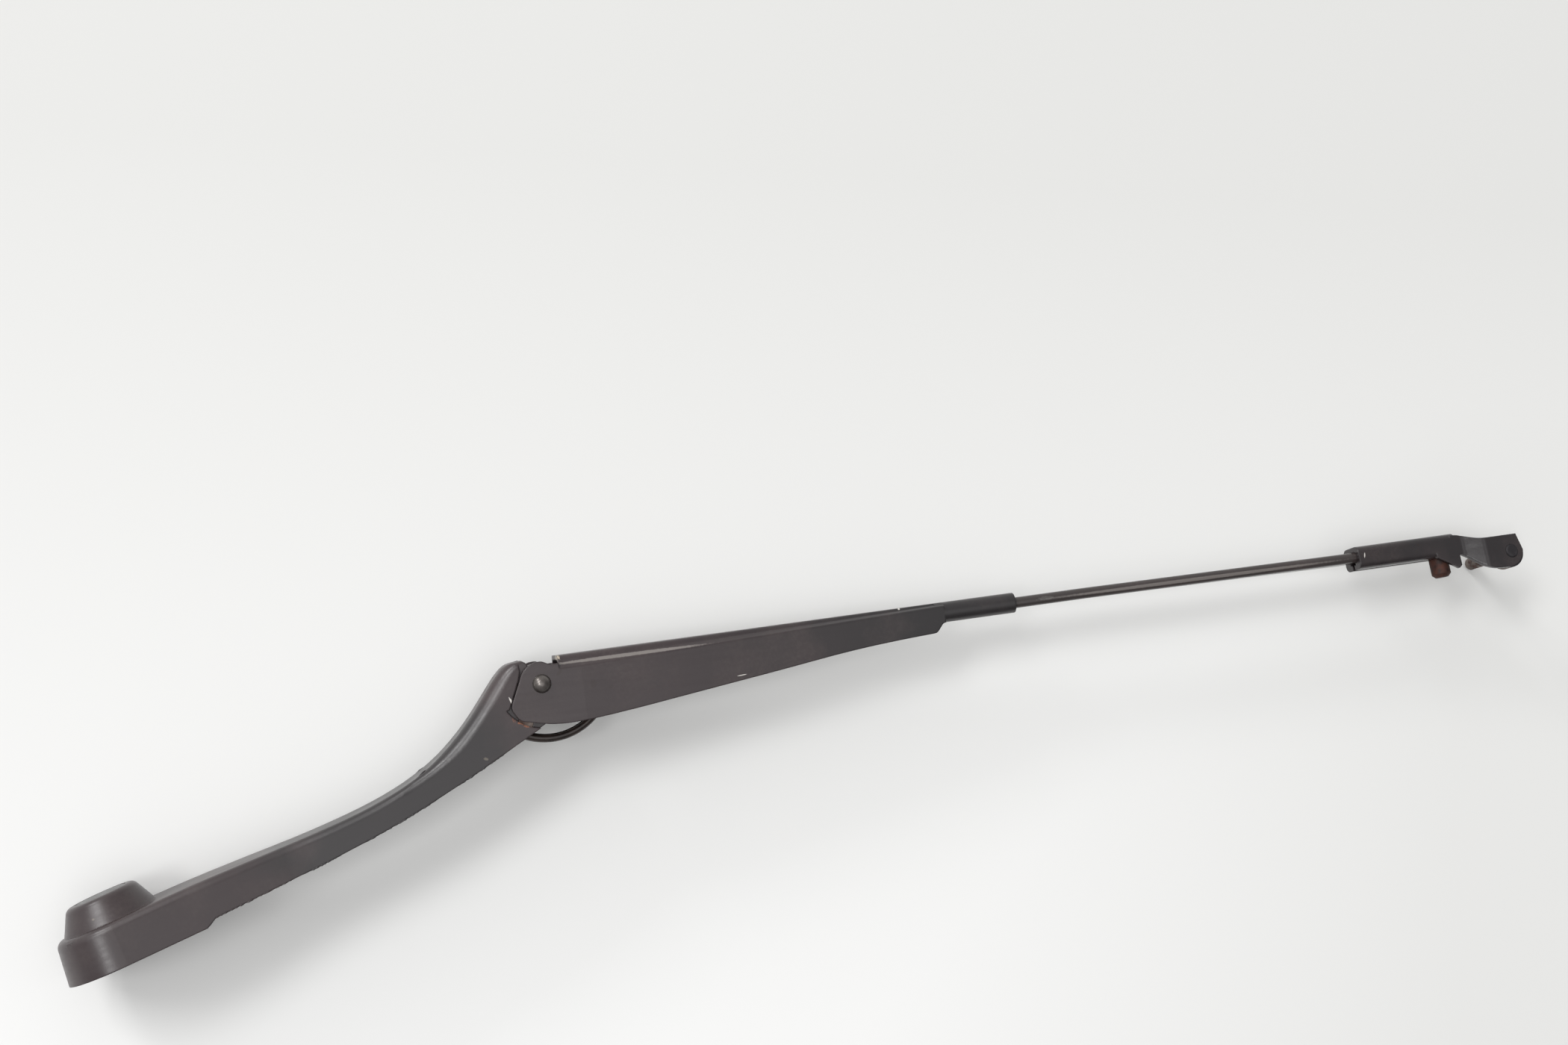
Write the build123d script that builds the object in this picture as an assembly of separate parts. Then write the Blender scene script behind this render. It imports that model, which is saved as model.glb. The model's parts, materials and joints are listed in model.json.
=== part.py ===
from build123d import *
import os
from math import acos, atan2, cos, degrees, hypot, pi, radians, sin, tan

# Windscreen wiper arm, pulled down on its stop. Millimetres and degrees.
# Heights in this file count up the spindle's axis from the head's rim, and +X runs towards the tip.
# The finished pieces are lowered so that the origin is on that axis at the nut's seat.

# Cast head
rim_radius = 19.5              # round end, at the lower rim
skirt_draft = 6.0              # lean of every side wall
deck_height = 14.6             # flat top of the round end
deck_length = 20.0             # where the deck runs out into the neck
head_wall = 2.8
deck_thickness = 3.0
waist_x = 62.0                 # where the sides stop closing in
waist_half_width = 13.2
shoulder_half_width = 12.6     # at the rim plane, near the hinge
waist_blend = 70.0
top_edge_round = 2.8
brow_round = 4.6               # the same edge where the neck climbs to the hinge
rim_step_x = 28.0              # the deep skirt ends here
rim_step_rise = 2.0
rim_step_run = 3.5
neck_dip = 1.4                 # lowest point of the neck's upper face, below the deck
neck_dip_x = 76.0
neck_underside = 4.2           # underside of the neck at its middle
neck_underside_x = 88.0

# Spindle boss and nut cup
boss_radius = 10.2
boss_foot = 1.2
rib_thickness = 2.4
rib_foot = 6.0
socket_mouth_radius = 6.0
socket_top_radius = 5.2
stud_hole_radius = 4.2
stud_hole_foot = 7.8
nut_seat = 12.0
nut_well_radius = 8.4
cup_base_radius = 15.2
cup_top_radius = 11.2
cup_height = 8.5
cup_round = 2.6
cap_thickness = 1.2            # push-in cover over the nut
cap_skirt = 2.4
cap_skirt_wall = 1.0
cap_bevel = 0.4

# Hinge
hinge_x = 157.6
hinge_z = 28.1
arm_droop = 16.0               # slope of the arm below the rim plane, on its stop
hook_slot_half_width = 2.75
pocket_gap = 0.45              # between an ear's edge and the head's shoulder
bush_radius = 4.8
bush_flange_radius = 6.5
bush_flange = 0.5
bush_depth = 5.0
ear_gap = 0.1                  # between a bush's flange and the ear beside it
pivot_radius = 3.0
tenon_radius = 2.3
rivet_dome_radius = 3.25
rivet_dome_height = 2.3
running_gap = 0.05

# Pressed channel
sheet = 1.6
ear_half_width = 10.5
channel_top = 8.8
crown_inset = 2.2              # from a side wall to the raised crown of the back
crown_height = 2.3             # at the hinge
crown_height_neck = 0.5
crown_round = 2.0
shoulder_drop = 2.2            # slope from the crown's foot down to a side wall, at the hinge
shoulder_drop_neck = 0.8
shoulder_round = 0.8
crease_round = 0.35
web_start = 6.6
notch_depth = 1.4              # dip of an ear's upper edge at the end of the web
notch_run = 4.0
ear_round = 7.6                # upper front corner, about the hinge
ear_slope_start = 165.0        # where that corner runs out into the stop edge
ear_knee = (-11.5, -7.0)
ear_chin = (-8.8, -11.7)
ear_corner = 3.5
ear_foot = (-1.0, -13.6)
belly = (19.0, -14.1)          # deepest point of the channel's lower edge
taper_start = 14.0
neck_start = 149.0
neck_end = 176.8
neck_width = 10.4
neck_height = 7.4
neck_round = 3.4
neck_seam = 1.4
channel_foot = -2.0            # lower edge of the channel just before the neck
channel_step_run = 5.0

# Flat rod
rod_width = 7.0
rod_thickness = 4.0
rod_edge = 1.7
rod_axis = 4.95                # height above the hinge line, in the neck
rod_tip_axis = 3.9             # the same at the blade carrier
rod_twist = 8.0
twist_start = 206.0
crimp_gap = 0.05
anchor_x = 118.0               # eye in the rod's inner end
anchor_z = 2.0
anchor_hole_radius = 1.5
anchor_end = 3.2               # metal beyond the eye's centre
joggle_run = 12.0
joggle_bend = 14.0

# Spring hook and spring
hook_pin_x = 147.5
hook_pin_z = 17.8
hook_pin_radius = 2.5
hook_wire = 1.5
hook_gap = 0.08
hook_sweep_radius = 22.0       # long bend under the hinge
hook_eye_radius = 3.0
curl_start = 70.0
curl_end = 240.0
eye_lead_in = 312.0
eye_turn = 245.0
spring_wire = 0.9
spring_radius = 3.4            # middle of the wire
spring_turns = 16
steps_per_turn = 12
wire_sides = 6
spring_leg = 7.0               # length of each end loop
loop_bend = 1.5
loop_gap = 0.3

# Blade carrier
carrier_sheet = 1.9
carrier_start = 319.0
carrier_length = 42.5
carrier_end = carrier_start + carrier_length
twist_end = carrier_start - 7.0
rod_end = carrier_end - 0.5
carrier_round = 2.3
carrier_seam = 1.6
lip_drop = 0.9                 # slack between the rod and the lips folded under it
pad_offset = 9.7               # outer face of the pad from the rod's axis
jog_start = carrier_end + 3.0
jog_run = 7.0
jog_end = jog_start + jog_run
pad_length = 16.0              # beyond the jog
pad_end = jog_end + pad_length
pad_top = -0.1
pad_foot = -12.7
pad_brow = 0.9                 # drop of the pad's wall below the carrier's back, at the back's round corner
tab_start = carrier_end - 9.0
tab_end = carrier_end + 0.9
tab_tip = -10.0
tab_thickness = 1.6

# Stud and side pin
stud_x = carrier_end - 5.5
stud_radius = 3.65
stud_foot = -12.2
stud_chamfer = 1.2
stud_shank_radius = 1.9
pin_x = pad_end - 5.0
pin_z = -6.7
pin_radius = 2.38
pin_tip = 19.8
pin_chamfer = 0.8
pin_groove_from_tip = 4.6
pin_groove_width = 1.4
pin_groove_depth = 0.45
collar_radius = 6.2
collar_length = 5.4
peened_radius = 2.7
peened_height = 0.5
fit_gap = 0.04

reach = 60.0                   # overrun of cutting solids


def side_slab(outline, half_width):
    """Extrude a face drawn in X and Z by half_width to each side."""
    return extrude(Plane.XZ.offset(-half_width) * outline, amount=2 * half_width)


def cylinder_y(radius, y_from, y_to, x=0.0, z=0.0):
    """A cylinder along Y."""
    length = y_to - y_from
    return Pos(x, (y_from + y_to) / 2, z) * Rot(90, 0, 0) * Cylinder(radius, length)


ear_inner = ear_half_width - sheet
cheek_half_width = ear_inner - ear_gap - bush_flange
web_slope = shoulder_drop / crown_inset
web_height = channel_top - crown_height - sheet
web_foot = web_height - web_slope * (cheek_half_width - ear_inner + crown_inset)
tongue_radius = hypot(web_start, web_foot) - pocket_gap
arm_frame = Pos(hinge_x, 0, hinge_z) * Rot(0, arm_droop, 0)
tip_frame = arm_frame * Pos(0, 0, rod_tip_axis) * Rot(-rod_twist, 0, 0)


def in_arm(x, z):
    """A point of the head's side view, given in the arm's own axes."""
    dx = x - hinge_x
    dz = z - hinge_z
    slope = radians(arm_droop)
    return dx * cos(slope) - dz * sin(slope), dx * sin(slope) + dz * cos(slope)


hook_pin_in_arm = in_arm(hook_pin_x, hook_pin_z)
pull_angle = degrees(atan2(anchor_z - hook_pin_in_arm[1], anchor_x - hook_pin_in_arm[0]))
pull_length = hypot(anchor_x - hook_pin_in_arm[0], anchor_z - hook_pin_in_arm[1])
hook_frame = Pos(hook_pin_x, 0, hook_pin_z) * Rot(0, arm_droop - pull_angle, 0)


def head_plan(inset):
    """Outline of the head from below: a round end drawn out into a neck."""
    radius = rim_radius - inset
    waist = waist_half_width - inset
    shoulder = shoulder_half_width - inset
    far = hinge_x + reach
    tangent = atan2(waist, waist_x) + acos(radius / hypot(waist_x, waist))
    touch = (radius * cos(tangent), radius * sin(tangent))
    side = [touch, (waist_x, waist), (far, shoulder)]
    outline = side + [(x, -y) for x, y in reversed(side)]
    neck = make_face(Polyline(*outline, close=True))
    bends = [v for v in neck.vertices() if abs(v.X - waist_x) < 1e-6]
    return Circle(radius) + fillet(bends, waist_blend)


def neck_upper_curve(drop):
    """Upper edge of the neck from the deck to the top of the S-bend, lowered by drop."""
    points = [
        (deck_length, deck_height - drop),
        (neck_dip_x, deck_height - neck_dip - drop),
        (hinge_x - 45.4 + 0.3 * drop, hinge_z - 10.4 - drop),
        (hinge_x - 24.2 + 0.6 * drop, hinge_z + 0.5 - 0.8 * drop),
        (hinge_x - 12.6 + 0.6 * drop, hinge_z + 8.6 - 0.8 * drop),
    ]
    return Spline(*points, tangents=[(1, 0), (1, 0.62)])


def crest_curve(upper):
    """Top of the head beyond the neck, over to the ears."""
    crest = [(hinge_x - 8.4, hinge_z + 10.4), (hinge_x - 3.3, hinge_z + 10.0)]
    return Spline(upper @ 1, *crest, tangents=[upper % 1, (1, -0.1)])


def head_side():
    """Side view of the head, with the tongue's disc at the hinge."""
    upper = neck_upper_curve(0)
    crest = crest_curve(upper)
    step_end = (rim_step_x + rim_step_run, rim_step_rise)
    toe = (hinge_x - 4.0, hinge_z - 13.3)
    lower = Spline(
        step_end,
        (neck_underside_x, neck_underside),
        (hinge_x - 40.0, hinge_z - 20.1),
        toe,
        tangents=[(1, 0.03), (1, 0.2)],
    )
    lip = (hinge_x - 2.2, hinge_z + 8.7)
    back = Polyline(crest @ 1, lip, (hinge_x, hinge_z), (hinge_x - 3.0, hinge_z - 8.6), toe)
    left = -rim_radius - reach
    front = Polyline(step_end, (rim_step_x, 0), (left, 0), (left, deck_height), upper @ 0)
    outline = make_face(Curve() + [upper, crest, back, lower, front])
    return outline + Pos(hinge_x, hinge_z) * Circle(tongue_radius)


def head_cavity():
    """Hollow underside of the head, up to the solid cheeks near the hinge."""
    upper = neck_upper_curve(deck_thickness)
    left = -rim_radius - reach
    start = upper @ 0
    stop = upper @ 0.74
    roof = upper.trim(0, 0.74)
    walls = Polyline(stop, (stop.X + 2.0, -reach), (left, -reach), (left, start.Y), start)
    outline = make_face(Curve() + [roof, walls])
    plan = extrude(head_plan(head_wall), amount=reach, taper=skirt_draft)
    return side_slab(outline, reach) & (plan + extrude(head_plan(head_wall), amount=-reach))


def hook_slot():
    """Slot between the cheeks in which the spring hook swings."""
    roof = [
        (hinge_x - 34, hinge_z - 9.5),
        (hinge_x - 18, hinge_z - 3.0),
        (hinge_x - 7.5, hinge_z + 5.0),
        (hinge_x - 4.6, hinge_z + 7.6),
        (hinge_x - 4.6, hinge_z + reach),
        (hinge_x + reach, hinge_z + reach),
        (hinge_x + reach, -reach),
        (hinge_x - 34, -reach),
    ]
    return side_slab(make_face(Polyline(*roof, close=True)), hook_slot_half_width)


def polar(radius, angle):
    return radius * cos(radians(angle)), radius * sin(radians(angle))


def ear_pocket():
    """Side recess that an ear of the channel sits in and sweeps through."""
    arc_radius = hypot(*ear_chin) + pocket_gap
    shoulder_angle = ear_slope_start - arm_droop
    knee_angle = degrees(atan2(-ear_knee[1], -ear_knee[0])) + 180 - arm_droop
    knee = polar(hypot(*ear_knee) + 1.2 * pocket_gap, knee_angle)
    shoulder = polar(ear_round + pocket_gap, shoulder_angle)
    web_corner = hypot(web_start, channel_top) + pocket_gap
    brow = polar(web_corner, 113.0)
    ring = [knee, shoulder, polar(ear_round + 2 * pocket_gap, 128.0), brow, (brow[0], reach)]
    ring += [(reach, reach), (reach, knee[1])]
    upper = make_face(Polyline(*ring, close=True))
    lower = Circle(arc_radius) & Pos(0, knee[1] - reach / 2) * Rectangle(reach, reach)
    front = Pos(reach / 2, -reach / 2) * Rectangle(reach, reach)
    outline = Pos(hinge_x, hinge_z) * (upper + lower + front)
    near = extrude(Plane.XZ.offset(cheek_half_width) * outline, amount=reach)
    return near + mirror(near, about=Plane.XZ)


def nut_cup():
    """Conical cup on the deck, with the nut's well inside it."""
    top = deck_height + cup_height
    root = deck_height - 1.0
    slope = (cup_base_radius - cup_top_radius) / cup_height
    outline = make_face(
        Polyline((0, root), (cup_base_radius + slope, root), (cup_top_radius, top), (0, top), close=True)
    )
    corner = [v for v in outline.vertices() if abs(v.X - cup_top_radius) < 1e-6]
    outline = fillet(corner, cup_round)
    return revolve(Plane.XZ * outline, axis=Axis.Z)


def spindle_bore():
    """Nut well, stud hole and tapered socket, all on the spindle's axis."""
    top = deck_height + cup_height + 1.0
    outline = make_face(
        Polyline(
            (0, -1.0),
            (socket_mouth_radius, -1.0),
            (socket_mouth_radius, boss_foot),
            (socket_top_radius, stud_hole_foot),
            (stud_hole_radius, stud_hole_foot),
            (stud_hole_radius, nut_seat),
            (nut_well_radius, nut_seat),
            (nut_well_radius, top),
            (0, top),
            close=True,
        )
    )
    return revolve(Plane.XZ * outline, axis=Axis.Z)


def spindle_boss():
    """Boss round the socket, tied to the skirt by four ribs."""
    height = deck_height - 1.0 - boss_foot
    boss = Pos(0, 0, boss_foot + height / 2) * Cylinder(boss_radius, height)
    rib_height = deck_height - 1.0 - rib_foot
    rib_length = rim_radius - head_wall / 2
    bar = Pos(rib_length / 2, 0, rib_foot + rib_height / 2) * Box(rib_length, rib_thickness, rib_height)
    for turn in (45, 135, 225, 315):
        boss += Rot(0, 0, turn) * bar
    return boss


def upper_rim(body):
    """Outer edges of the head's upper faces, from the round end to the crest."""
    crest_x = hinge_x - 4.0
    tops = body.faces().filter_by(lambda f: f.normal_at().Z > 0.3 and f.center().X < crest_x)
    edges = ShapeList()
    for face in tops:
        sides = face.edges().filter_by(lambda e: abs(e.tangent_at(0.5).Y) < 0.9 or e.center().X < 0)
        edges += sides.filter_by(lambda e: e.center().X < crest_x)
    return edges


def brow_section(point, along, size):
    """Cutter across the climbing neck: what a round of that size takes off its far upper edge."""
    draft = tan(radians(skirt_draft))
    spread = (point.X - waist_x) / (hinge_x + reach - waist_x)
    half_width = waist_half_width + spread * (shoulder_half_width - waist_half_width) - draft * point.Y
    skim = 0.03
    overrun = 1.05 * size
    top = (half_width - overrun, skim)
    side = (half_width + draft * size * along.X + skim, -overrun)
    middle = (half_width - size * (1 - cos(pi / 4)), -size * (1 - sin(pi / 4)))
    outside = [side, (half_width + size, side[1]), (half_width + size, size), (top[0], size), top]
    face = make_face(Curve() + [ThreePointArc(top, middle, side), Polyline(*outside)])
    return Plane((point.X, 0, point.Y), x_dir=(0, 1, 0), z_dir=(along.X, 0, along.Y)) * face


def brow_cut():
    """Round of both upper edges, growing up the neck and dying out on the crest."""
    upper = neck_upper_curve(0)
    crest = crest_curve(upper)
    climb = [
        (upper, 0.62, 0.45),
        (upper, 0.74, 0.8),
        (upper, 0.84, 0.97),
        (upper, 0.92, 1.0),
        (upper, 1.0, 0.93),
        (crest, 0.5, 0.75),
        (crest, 1.0, 0.4),
    ]
    far = loft([brow_section(curve @ t, curve % t, share * brow_round) for curve, t, share in climb])
    return far + mirror(far, about=Plane.XZ)


def make_arm_head():
    plan = extrude(head_plan(0), amount=reach, taper=skirt_draft)
    body = plan & side_slab(head_side(), reach)
    body = fillet(upper_rim(body), top_edge_round)
    body -= brow_cut()
    body -= head_cavity()
    body += spindle_boss() & plan
    body += nut_cup()
    body -= spindle_bore()
    body -= hook_slot()
    body -= ear_pocket()
    seat = bush_radius + fit_gap
    body -= cylinder_y(seat, -reach, reach, hinge_x, hinge_z)
    pin_seat = hook_pin_radius + fit_gap
    body -= cylinder_y(pin_seat, -cheek_half_width, cheek_half_width, hook_pin_x, hook_pin_z)
    return body


def make_nut_cap():
    """Push-in cover, flush with the cup's rim, gripping the well by its skirt."""
    outer = nut_well_radius - fit_gap
    inner = outer - cap_skirt_wall
    top = deck_height + cup_height
    under = top - cap_thickness
    foot = under - cap_skirt
    rim = [(outer - cap_bevel, top), (outer, top - cap_bevel), (outer, foot)]
    outline = make_face(Polyline((0, top), *rim, (inner, foot), (inner, under), (0, under), close=True))
    return revolve(Plane.XZ * outline, axis=Axis.Z)


def make_hinge_bush():
    """Flanged bush, seated from outside in the cheek on the near side."""
    inner = cheek_half_width - bush_depth
    bush = cylinder_y(bush_radius, -cheek_half_width, -inner)
    bush += cylinder_y(bush_flange_radius, -cheek_half_width - bush_flange, -cheek_half_width)
    bush -= cylinder_y(pivot_radius + running_gap, -ear_half_width, 0)
    return Pos(hinge_x, 0, hinge_z) * bush


def make_hinge_rivet():
    """Shouldered pivot with a tenon headed over on each ear."""
    crown = ear_half_width + rivet_dome_height
    half = Polyline(
        (0, 0),
        (pivot_radius, 0),
        (pivot_radius, ear_inner),
        (tenon_radius, ear_inner),
        (tenon_radius, ear_half_width),
        (rivet_dome_radius, ear_half_width),
    )
    ball = (rivet_dome_radius**2 + rivet_dome_height**2) / (2 * rivet_dome_height)
    rise = atan2(rivet_dome_radius, ball - rivet_dome_height) / 2
    middle = (ball * sin(rise), crown - ball + ball * cos(rise))
    dome = ThreePointArc((rivet_dome_radius, ear_half_width), middle, (0, crown))
    outline = make_face(Curve() + [half, dome, Line((0, crown), (0, 0))])
    end = revolve(outline, axis=Axis.Y)
    return arm_frame * (end + mirror(end, about=Plane.XZ))


def make_hook_pin():
    """Cross pin between the cheeks; the channel's ears keep it in."""
    return cylinder_y(hook_pin_radius, -cheek_half_width, cheek_half_width, hook_pin_x, hook_pin_z)


curl_radius = hook_pin_radius + hook_gap + hook_wire
hook_depth = hook_sweep_radius + (hook_sweep_radius - hook_eye_radius) * sin(radians(eye_lead_in))
curl_stop = polar(curl_radius, curl_end)
lead = radians(270 - curl_end)
sweep_z = hook_sweep_radius - hook_depth
sweep_x = curl_stop[0] + (hook_sweep_radius - cos(lead) * (sweep_z - curl_stop[1])) / sin(lead)
eye_x = sweep_x + (hook_sweep_radius - hook_eye_radius) * cos(radians(eye_lead_in))


def make_spring_hook():
    """Bent wire: a curl on the cross pin, a long bend under the hinge, and an eye for the spring."""
    curl = CenterArc((0, 0), curl_radius, curl_start, curl_end - curl_start)
    sweep_arc = CenterArc((sweep_x, sweep_z), hook_sweep_radius, curl_end, eye_lead_in - curl_end)
    link = Line(curl @ 1, sweep_arc @ 0)
    eye = CenterArc((eye_x, 0), hook_eye_radius, eye_lead_in, eye_turn)
    path = Plane.XZ * Wire([curl.edge(), link.edge(), sweep_arc.edge(), eye.edge()])
    start = Plane(path @ 0, z_dir=path % 0)
    return hook_frame * sweep(start * Circle(hook_wire), path=path)


def end_loop(apex, towards):
    """Squared wire loop at one end of the spring, drawn in X and Y."""
    leg = apex + towards * spring_leg
    tail = apex + towards * (spring_leg - 2 * spring_wire)
    points = [(leg, spring_radius), (apex, spring_radius), (apex, -spring_radius), (tail, -spring_radius)]
    path = FilletPolyline(*points, radius=loop_bend)
    start = Plane(path @ 0, z_dir=path % 0)
    return sweep(start * RegularPolygon(spring_wire, wire_sides), path=path)


def spring_coil(length):
    """Helix of wire along X, ending a quarter turn on from where it starts."""
    turns = spring_turns + 0.25
    count = round(turns * steps_per_turn)
    slope = atan2(length / turns, 2 * pi * spring_radius)
    sections = []
    for k in range(count + 1):
        angle = 2 * pi * turns * k / count
        centre = (length * k / count, spring_radius * cos(angle), spring_radius * sin(angle))
        along = (sin(slope), -cos(slope) * sin(angle), cos(slope) * cos(angle))
        plane = Plane(centre, x_dir=(0, cos(angle), sin(angle)), z_dir=along)
        sections.append(plane * RegularPolygon(spring_wire, wire_sides))
    return loft(sections, ruled=True)


def make_tension_spring():
    """Coil on the pull line, looped through the hook's eye and through the rod's eye."""
    hook_apex = eye_x + hook_eye_radius - hook_wire - loop_gap - spring_wire
    rod_apex = pull_length - anchor_hole_radius + loop_gap + spring_wire
    coil_from = hook_apex + spring_leg
    coil_to = rod_apex - spring_leg
    spring = Pos(coil_from, 0, 0) * spring_coil(coil_to - coil_from)
    spring += end_loop(hook_apex, 1)
    spring += Rot(90, 0, 0) * end_loop(rod_apex, -1)
    return hook_frame * spring


def channel_section(x, half_width, crown, drop, inset):
    """Downward-open section of the pressed channel at x: side walls, sloping shoulders and a raised crown."""
    plane = Plane((x, 0, 0), x_dir=(0, 1, 0), z_dir=(1, 0, 0))
    wall = half_width - inset
    inner = half_width - crown_inset - inset
    top = channel_top - inset
    ledge = channel_top - crown - inset
    brow = ledge - drop
    right = [(wall, -reach), (wall, brow), (inner, ledge), (inner, top)]
    outline = make_face(Polyline(*right, *[(-y, z) for y, z in reversed(right)], close=True))
    corners = outline.vertices()
    top_round = min(crown_round - inset / 2, 0.9 * crown)
    outline = fillet(corners.filter_by(lambda v: v.Y > top - 1e-6), top_round)
    crease = outline.vertices().filter_by(lambda v: abs(v.Y - ledge) < 1e-6 and abs(v.X) < inner + 1e-6)
    outline = fillet(crease, min(crease_round, 0.08 * crown))
    shoulder = outline.vertices().filter_by(lambda v: abs(v.Y - brow) < 1e-6)
    return plane * fillet(shoulder, shoulder_round)


def channel_body(inset):
    """Solid of the channel's inner or outer skin, narrowing to the neck."""
    stations = [
        (web_start - inset, ear_half_width, crown_height, shoulder_drop),
        (taper_start, ear_half_width, crown_height, shoulder_drop),
        (neck_start, neck_width / 2, crown_height_neck, shoulder_drop_neck),
    ]
    return loft([channel_section(*station, inset) for station in stations], ruled=True)


def channel_side():
    """Side view of the channel: the ears, the lower edge and the step up to the neck."""
    slope_start = polar(ear_round, ear_slope_start)
    corner = CenterArc((0, 0), ear_round, 90, ear_slope_start - 90)
    front = FilletPolyline(slope_start, ear_knee, ear_chin, ear_foot, radius=ear_corner)
    neck_foot = channel_top - neck_height
    step = (neck_start - channel_step_run, channel_foot)
    lower = Spline(
        ear_foot,
        belly,
        (45.6, -11.4),
        (90.4, -6.4),
        step,
        tangents=[front % 1, (1, 0.04)],
    )
    mid = ((step[0] + neck_start) / 2, (channel_foot + neck_foot) / 2)
    rise_a = Spline(step, mid, tangents=[(1, 0.04), (1, 1.1)])
    rise_b = Spline(mid, (neck_start, neck_foot), tangents=[(1, 1.1), (1, 0)])
    notch = ear_round - notch_depth
    dip = Spline((0, ear_round), (notch_run, notch), tangents=[(1, 0), (1, -0.1)])
    top = Polyline(
        (neck_start, neck_foot),
        (neck_start, channel_top + 1),
        (web_start, channel_top + 1),
        (web_start, notch),
        (notch_run, notch),
    )
    return make_face(Curve() + [corner, front, lower, rise_a, rise_b, top, dip])


def rod_section(width, thickness, edge):
    """Face across the rod, with Y along its width."""
    return RectangleRounded(width, thickness, edge)


def across(x, z=0.0):
    """Plane across the arm at x."""
    return Plane((x, 0, z), x_dir=(0, 1, 0), z_dir=(1, 0, 0))


def make_retainer():
    shell = (channel_body(0) - channel_body(sheet)) & side_slab(channel_side(), reach)
    flat_top = channel_top - crown_height - shoulder_drop - shoulder_round
    web_zone = Pos(web_start - reach, 0) * Rectangle(2 * reach, 2 * reach)
    wall_zone = Pos(taper_start - reach, flat_top - reach) * Rectangle(2 * reach, 2 * reach)
    ear = channel_side() & (web_zone + wall_zone)
    near_ear = extrude(Plane.XZ.offset(ear_inner) * ear, amount=sheet)
    shell += [near_ear, mirror(near_ear, about=Plane.XZ)]
    overlap = 2 * sheet
    tube_plane = across(neck_start - overlap, channel_top - neck_height / 2)
    tube_length = neck_end - neck_start + overlap
    tube = extrude(tube_plane * RectangleRounded(neck_width, neck_height, neck_round), amount=tube_length)
    body = shell + tube
    hole = rod_section(rod_width + 2 * crimp_gap, rod_thickness + 2 * crimp_gap, rod_edge + crimp_gap)
    body -= extrude(across(neck_start - reach / 2, rod_axis) * hole, amount=reach + neck_end - neck_start)
    body -= Pos(neck_end, 0, rod_axis - reach / 2) * Box(2 * (neck_end - neck_start), neck_seam, reach)
    body -= cylinder_y(tenon_radius + fit_gap, -reach, reach)
    return arm_frame * body


def make_rod():
    """Flat bar: an eye and a joggle in the channel, a slow twist, and a straight end in the carrier."""
    eye_end = anchor_x - anchor_end
    joggle = anchor_x + 2.5 * anchor_end
    points = [(eye_end, anchor_z), (joggle, anchor_z)]
    points += [(joggle + joggle_run, rod_axis), (twist_start, rod_axis)]
    path = Plane.XZ * FilletPolyline(*points, radius=joggle_bend)
    section = rod_section(rod_width, rod_thickness, rod_edge)
    inner = sweep(across(eye_end, anchor_z) * section, path=path)
    inner -= Pos(anchor_x, 0, anchor_z) * Cylinder(anchor_hole_radius, 2 * rod_thickness)
    steps = 4
    stations = []
    for k in range(steps + 1):
        t = k / steps
        x = twist_start + t * (twist_end - twist_start)
        z = rod_axis + t * (rod_tip_axis - rod_axis)
        face = across(0) * section
        stations.append(Pos(x, 0, z) * Rot(-rod_twist * t, 0, 0) * face)
    twist = loft(stations)
    outer = extrude(stations[-1], amount=rod_end - twist_end)
    bar = inner + twist + outer
    stud_hole = Pos(stud_x, 0, 0) * Cylinder(stud_shank_radius + fit_gap, reach)
    return arm_frame * bar - tip_frame * stud_hole


def pad_outline():
    """Side view of the carrier's near wall beyond the channel, with the pad."""
    half = rod_thickness / 2 + crimp_gap + carrier_sheet
    foot = -half - lip_drop
    start = carrier_end - carrier_sheet
    rise = (pad_end - 14.7, pad_top)
    brow = half - pad_brow
    upper = Spline((carrier_end, brow), rise, tangents=[(1, -0.1), (1, 0)])
    nose = Polyline(rise, (pad_end - 1.7, pad_top), (pad_end, pad_top - 6.6))
    chin = (pad_end - 8.5, pad_foot)
    under = ThreePointArc((pad_end, pad_top - 6.6), (pad_end - 2.1, pad_foot + 1.9), chin)
    throat = Spline(chin, (pad_end - 17.5, pad_foot + 2.1), (carrier_end + 2.0, foot - 0.2), (start, foot),
                    tangents=[(-1, 0), (-1, 0.1)])
    back = Polyline((start, foot), (start, brow), (carrier_end, brow))
    return make_face(Curve() + [upper, nose, under, throat, back])


def wall_band(outer, thickness):
    """Plan view of the near wall: straight on the rod, a jog outwards, and the pad."""
    side = -(rod_width / 2 + crimp_gap + carrier_sheet)
    start = carrier_end - carrier_sheet
    points = [(start, side), (jog_start, side), (jog_end, -outer), (pad_end + reach / 4, -outer)]
    band = make_face(Polyline(*points, *[(x, y + thickness) for x, y in reversed(points)], close=True))
    bends = [v for v in band.vertices() if jog_start - 1 < v.X < jog_end + 1]
    return fillet(bends, 1.6 * thickness)


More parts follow.
